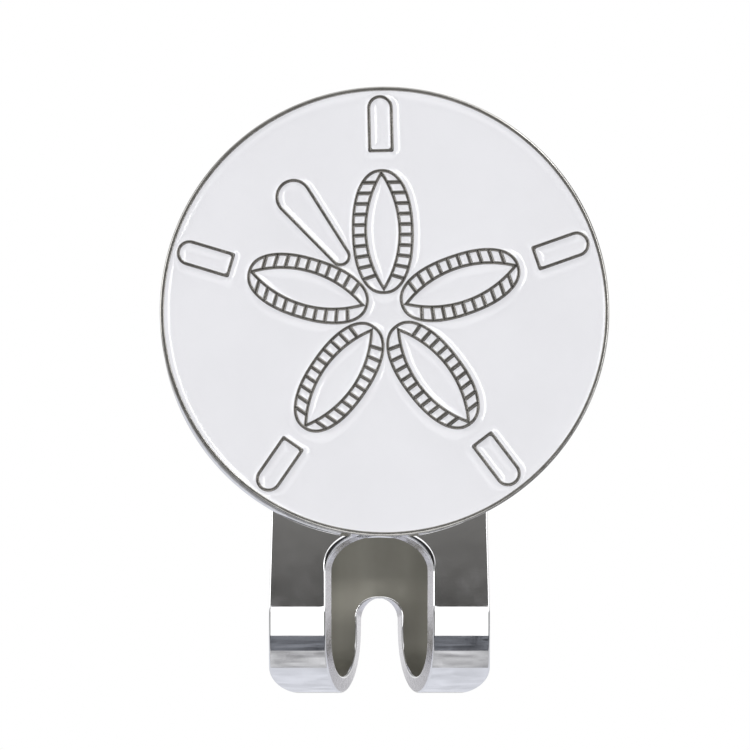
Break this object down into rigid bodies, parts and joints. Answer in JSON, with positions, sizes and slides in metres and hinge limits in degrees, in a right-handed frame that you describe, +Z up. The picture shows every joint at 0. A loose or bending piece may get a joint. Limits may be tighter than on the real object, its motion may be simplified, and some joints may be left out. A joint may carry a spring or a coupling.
{
  "type": "golf ball marker",
  "caption": "Round white enamel coin ball marker held by a magnet on the seat of a bent metal hat clip with a slotted front leg.",
  "frame": {"origin": "axis of the clip's bend, in the middle of its width, where the edge of a hat brim comes to rest", "axes": "+Z up from the bend towards the coin, -Y the way the coin faces, +X to the viewer's right when the coin is looked at"},
  "size_m": [0.025, 0.0133, 0.034],
  "materials": {
    "clip_chrome": "polished",
    "coin_nickel": "polished",
    "white_enamel": "glossy",
    "magnet_plating": "satin",
    "clear_glue": "glossy"
  },
  "bodies": {
    "clip": {"clip_front": "clip_chrome", "magnet": "magnet_plating", "magnet_glue": "clear_glue"},
    "spring_leg": {"clip_back": "clip_chrome"},
    "coin": {"coin_blank": "coin_nickel", "enamel_field": "white_enamel", "enamel_drop_cell": "white_enamel", "enamel_leaf_1": "white_enamel", "enamel_leaf_2": "white_enamel", "enamel_leaf_3": "white_enamel", "enamel_leaf_4": "white_enamel", "enamel_leaf_5": "white_enamel", "enamel_border_1": "white_enamel", "enamel_border_2": "white_enamel", "enamel_border_3": "white_enamel", "enamel_border_4": "white_enamel", "enamel_border_5": "white_enamel", "enamel_bay_1": "white_enamel", "enamel_bay_2": "white_enamel", "enamel_bay_3": "white_enamel", "enamel_bay_4": "white_enamel", "enamel_bay_5": "white_enamel"}
  },
  "joints": [
    {"name": "coin_lift_off", "type": "slide", "parent": "clip", "child": "coin", "axis": [0, -1, 0], "range_m": [0, 0.025]},
    {"name": "brim_flex", "type": "hinge", "parent": "clip", "child": "spring_leg", "pos_m": [0, 0, -0.0051], "axis": [-1, 0, 0], "range_deg": [0, 8], "stiffness_Nm_per_rad": 0.8}
  ]
}
